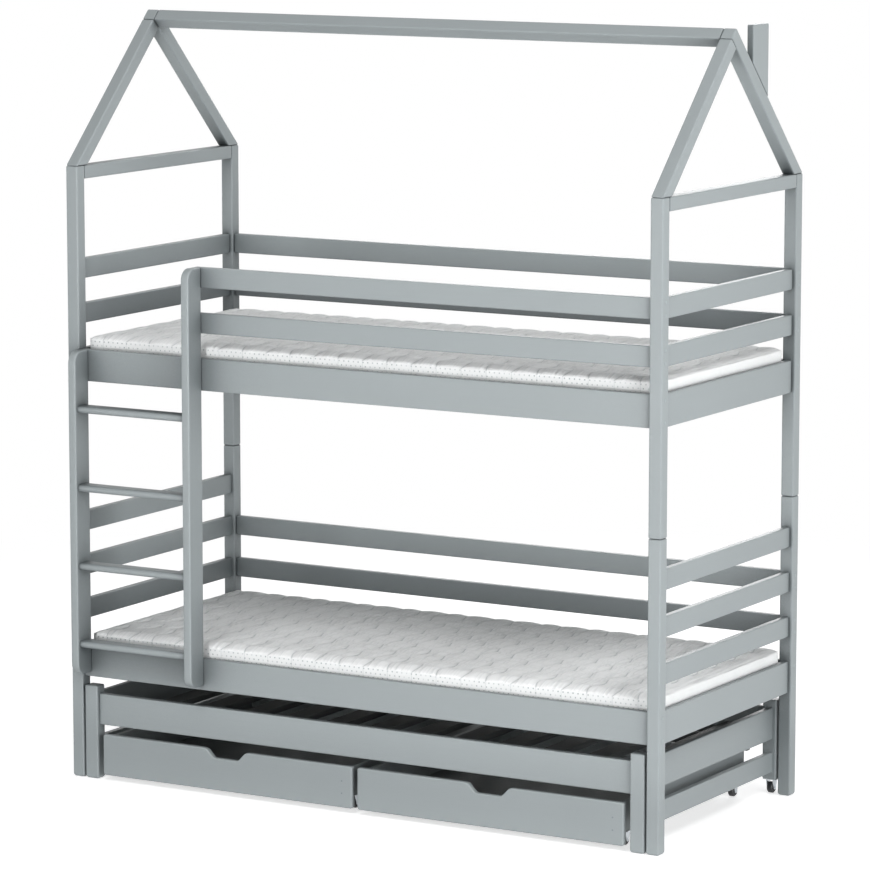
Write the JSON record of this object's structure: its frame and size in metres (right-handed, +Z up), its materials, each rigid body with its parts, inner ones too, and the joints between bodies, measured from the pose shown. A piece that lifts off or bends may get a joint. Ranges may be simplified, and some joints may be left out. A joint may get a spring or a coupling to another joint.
{
  "type": "house bed",
  "caption": "Bunk bed with a house-shaped roof outline, a ladder, slatted bases, mattresses, a roll-out trundle on casters and notched storage drawers.",
  "frame": {"origin": "on the floor under the middle of the whole bed, ladder included", "axes": "+X to the right seen from the front, +Y to the rear, +Z up; the ladder, trundle and drawers face -Y"},
  "size_m": [1.98, 0.9402, 2.2843],
  "materials": {
    "painted_wood": "satin grey-green paint on planed pine",
    "pine_slats": "bare planed pine",
    "mattress_cover": "white quilted knit",
    "caster_wheel": "black moulded plastic"
  },
  "bodies": {
    "bed": {"lower_end_frame_left": "painted_wood", "lower_end_frame_right": "painted_wood", "upper_post_front_left": "painted_wood", "upper_post_rear_left": "painted_wood", "upper_end_beam_left": "painted_wood", "upper_end_rail_low_left": "painted_wood", "upper_end_rail_high_left": "painted_wood", "roof_tie_left": "painted_wood", "rafter_front_left": "painted_wood", "rafter_rear_left": "painted_wood", "upper_post_front_right": "painted_wood", "upper_post_rear_right": "painted_wood", "upper_end_beam_right": "painted_wood", "upper_end_rail_low_right": "painted_wood", "upper_end_rail_high_right": "painted_wood", "roof_tie_right": "painted_wood", "rafter_front_right": "painted_wood", "rafter_rear_right": "painted_wood", "roof_ridge": "painted_wood", "chimney_board": "painted_wood", "lower_beam_front": "painted_wood", "upper_beam_front": "painted_wood", "lower_beam_rear": "painted_wood", "upper_beam_rear": "painted_wood", "lower_rear_rail_low": "painted_wood", "upper_rear_rail_low": "painted_wood", "guard_rail_low": "painted_wood", "lower_rear_rail_high": "painted_wood", "upper_rear_rail_high": "painted_wood", "guard_rail_high": "painted_wood", "ladder_stile_left": "painted_wood", "ladder_stile_right": "painted_wood", "ladder_rung_1": "painted_wood", "ladder_rung_2": "painted_wood", "ladder_rung_3": "painted_wood", "ladder_rung_4": "painted_wood", "lower_slat_base": "pine_slats", "lower_mattress": "mattress_cover", "upper_slat_base": "pine_slats", "upper_mattress": "mattress_cover"},
    "trundle": {"trundle_end_frame_left": "painted_wood", "trundle_end_frame_right": "painted_wood", "trundle_front_board": "painted_wood", "trundle_rear_board": "painted_wood", "trundle_slat_base": "pine_slats"},
    "trundle_wheel_left": {"trundle_wheel_left": "caster_wheel"},
    "trundle_wheel_right": {"trundle_wheel_right": "caster_wheel"},
    "drawer_left": {"drawer_front_left": "painted_wood", "drawer_box_left": "painted_wood"},
    "drawer_left_wheel_front_left": {"drawer_left_wheel_front_left": "caster_wheel"},
    "drawer_left_wheel_front_right": {"drawer_left_wheel_front_right": "caster_wheel"},
    "drawer_left_wheel_rear_left": {"drawer_left_wheel_rear_left": "caster_wheel"},
    "drawer_left_wheel_rear_right": {"drawer_left_wheel_rear_right": "caster_wheel"},
    "drawer_right": {"drawer_front_right": "painted_wood", "drawer_box_right": "painted_wood"},
    "drawer_right_wheel_front_left": {"drawer_right_wheel_front_left": "caster_wheel"},
    "drawer_right_wheel_front_right": {"drawer_right_wheel_front_right": "caster_wheel"},
    "drawer_right_wheel_rear_left": {"drawer_right_wheel_rear_left": "caster_wheel"},
    "drawer_right_wheel_rear_right": {"drawer_right_wheel_rear_right": "caster_wheel"}
  },
  "joints": [
    {"name": "trundle_slide", "type": "slide", "parent": "bed", "child": "trundle", "axis": [0, -1, 0], "range_m": [0, 0.9]},
    {"name": "trundle_wheel_left_spin", "type": "hinge", "parent": "trundle", "child": "trundle_wheel_left", "pos_m": [-0.9215, 0.45015, 0.0173], "axis": [1, 0, 0], "continuous": true},
    {"name": "trundle_wheel_right_spin", "type": "hinge", "parent": "trundle", "child": "trundle_wheel_right", "pos_m": [0.9215, 0.45015, 0.0173], "axis": [1, 0, 0], "continuous": true},
    {"name": "drawer_left_slide", "type": "slide", "parent": "bed", "child": "drawer_left", "axis": [0, -1, 0], "range_m": [0, 0.75]},
    {"name": "drawer_left_wheel_front_left_spin", "type": "hinge", "parent": "drawer_left", "child": "drawer_left_wheel_front_left", "pos_m": [-0.843, -0.33455, 0.0173], "axis": [1, 0, 0], "continuous": true},
    {"name": "drawer_left_wheel_front_right_spin", "type": "hinge", "parent": "drawer_left", "child": "drawer_left_wheel_front_right", "pos_m": [-0.0455, -0.33455, 0.0173], "axis": [1, 0, 0], "continuous": true},
    {"name": "drawer_left_wheel_rear_left_spin", "type": "hinge", "parent": "drawer_left", "child": "drawer_left_wheel_rear_left", "pos_m": [-0.843, 0.35015, 0.0173], "axis": [1, 0, 0], "continuous": true},
    {"name": "drawer_left_wheel_rear_right_spin", "type": "hinge", "parent": "drawer_left", "child": "drawer_left_wheel_rear_right", "pos_m": [-0.0455, 0.35015, 0.0173], "axis": [1, 0, 0], "continuous": true},
    {"name": "drawer_right_slide", "type": "slide", "parent": "bed", "child": "drawer_right", "axis": [0, -1, 0], "range_m": [0, 0.75]},
    {"name": "drawer_right_wheel_front_left_spin", "type": "hinge", "parent": "drawer_right", "child": "drawer_right_wheel_front_left", "pos_m": [0.0455, -0.33455, 0.0173], "axis": [1, 0, 0], "continuous": true},
    {"name": "drawer_right_wheel_front_right_spin", "type": "hinge", "parent": "drawer_right", "child": "drawer_right_wheel_front_right", "pos_m": [0.843, -0.33455, 0.0173], "axis": [1, 0, 0], "continuous": true},
    {"name": "drawer_right_wheel_rear_left_spin", "type": "hinge", "parent": "drawer_right", "child": "drawer_right_wheel_rear_left", "pos_m": [0.0455, 0.35015, 0.0173], "axis": [1, 0, 0], "continuous": true},
    {"name": "drawer_right_wheel_rear_right_spin", "type": "hinge", "parent": "drawer_right", "child": "drawer_right_wheel_rear_right", "pos_m": [0.843, 0.35015, 0.0173], "axis": [1, 0, 0], "continuous": true}
  ],
  "couplings": [
    {"joint": "trundle_wheel_left_spin", "follows": "trundle_slide", "rad_per_m": 58.824},
    {"joint": "trundle_wheel_right_spin", "follows": "trundle_slide", "rad_per_m": 58.824},
    {"joint": "drawer_left_wheel_front_left_spin", "follows": "drawer_left_slide", "rad_per_m": 58.824},
    {"joint": "drawer_left_wheel_front_right_spin", "follows": "drawer_left_slide", "rad_per_m": 58.824},
    {"joint": "drawer_left_wheel_rear_left_spin", "follows": "drawer_left_slide", "rad_per_m": 58.824},
    {"joint": "drawer_left_wheel_rear_right_spin", "follows": "drawer_left_slide", "rad_per_m": 58.824},
    {"joint": "drawer_right_wheel_front_left_spin", "follows": "drawer_right_slide", "rad_per_m": 58.824},
    {"joint": "drawer_right_wheel_front_right_spin", "follows": "drawer_right_slide", "rad_per_m": 58.824},
    {"joint": "drawer_right_wheel_rear_left_spin", "follows": "drawer_right_slide", "rad_per_m": 58.824},
    {"joint": "drawer_right_wheel_rear_right_spin", "follows": "drawer_right_slide", "rad_per_m": 58.824}
  ]
}
